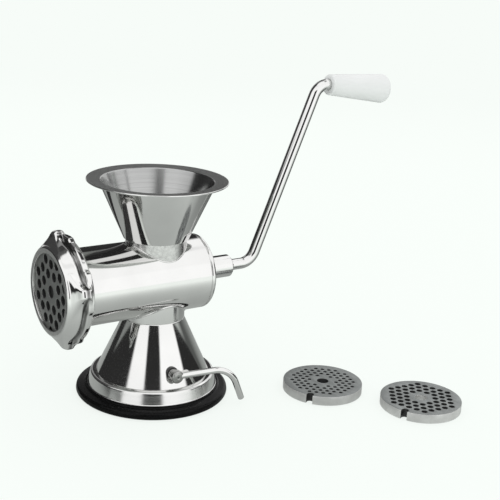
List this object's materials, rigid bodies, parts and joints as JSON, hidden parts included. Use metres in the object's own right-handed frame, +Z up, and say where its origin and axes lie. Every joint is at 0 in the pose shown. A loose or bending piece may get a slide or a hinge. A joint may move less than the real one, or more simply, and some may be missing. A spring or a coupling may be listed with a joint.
{
  "type": "hand crank meat grinder",
  "caption": "Free-standing kitchen grinder: suction base, hopper over a worm barrel, threaded ring nut with a pierced plate, bent crank with a turning grip, and loose spare plates.",
  "frame": {"origin": "centre of the rubber pad's underside, on the table", "axes": "+Z up; the barrel lies along Y, its grinding plate facing -Y and the crank at +Y; the suction lever is on the +X side"},
  "size_m": [0.2124, 0.2957, 0.2374],
  "materials": {
    "polished_steel": "mirror-polished stainless steel",
    "satin_steel": "spun and brushed stainless sheet",
    "machined_steel": "turned or stamped steel",
    "plate_steel": "ground steel with a matte blasted face",
    "pad_rubber": "smooth glossy black rubber",
    "white_plastic": "satin white moulded plastic",
    "nylon": "natural nylon"
  },
  "bodies": {
    "housing": {"pedestal_cone": "polished_steel", "pedestal_neck": "polished_steel", "base_flange": "polished_steel", "backing_dish": "machined_steel", "suction_pad": "pad_rubber", "barrel_tube": "polished_steel", "barrel_end_cap": "polished_steel", "rear_boss": "polished_steel", "rear_bush": "nylon", "thrust_washer": "nylon", "thread_collar": "polished_steel", "plate_key": "polished_steel", "hopper_neck": "satin_steel", "hopper_funnel": "satin_steel", "lever_bushes": "machined_steel"},
    "drive": {"drive_shaft": "machined_steel", "worm": "machined_steel", "worm_stud": "machined_steel", "knife": "machined_steel", "crank_arm": "polished_steel", "grip_washer": "polished_steel", "grip_screw": "polished_steel"},
    "handgrip": {"grip": "white_plastic"},
    "front_plate": {"coarse_plate": "plate_steel"},
    "nut": {"ring_nut": "polished_steel"},
    "lever": {"lever_shaft": "polished_steel", "lever_hub": "polished_steel", "lever_rod": "polished_steel", "shaft_clip": "machined_steel"},
    "pull_pin": {"pull_yoke": "machined_steel", "pull_disc": "machined_steel"},
    "spare_fine": {"fine_plate": "plate_steel"},
    "spare_medium": {"medium_plate": "plate_steel"}
  },
  "joints": [
    {"name": "crank_turn", "type": "hinge", "parent": "housing", "child": "drive", "pos_m": [0, 0.06, 0.091], "axis": [0, 1, 0], "range_deg": [-190, 110]},
    {"name": "grip_spin", "type": "hinge", "parent": "drive", "child": "handgrip", "pos_m": [0, 0.18008, 0.22712], "axis": [0, 0.9963, -0.0854], "continuous": true},
    {"name": "plate_slide", "type": "slide", "parent": "housing", "child": "front_plate", "axis": [0, -1, 0], "range_m": [0, 0.0097]},
    {"name": "nut_unscrew", "type": "hinge", "parent": "front_plate", "child": "nut", "pos_m": [0, -0.078, 0.091], "axis": [0, -1, 0], "range_deg": [0, 1440]},
    {"name": "lever_flip", "type": "hinge", "parent": "housing", "child": "lever", "pos_m": [0.044, -0.0046, 0.0278], "axis": [1, 0, 0], "range_deg": [0, 180]},
    {"name": "pad_pull", "type": "slide", "parent": "housing", "child": "pull_pin", "axis": [0, 0, 1], "range_m": [0, 0.0061]},
    {"name": "fine_lift", "type": "slide", "parent": "housing", "child": "spare_fine", "axis": [0, 0, 1], "range_m": [0, 0.02]},
    {"name": "medium_lift", "type": "slide", "parent": "housing", "child": "spare_medium", "axis": [0, 0, 1], "range_m": [0, 0.02]}
  ],
  "couplings": [
    {"joint": "plate_slide", "follows": "nut_unscrew", "m_per_rad": 0.00038197},
    {"joint": "pad_pull", "follows": "lever_flip", "m_per_rad": 0.0019099}
  ]
}
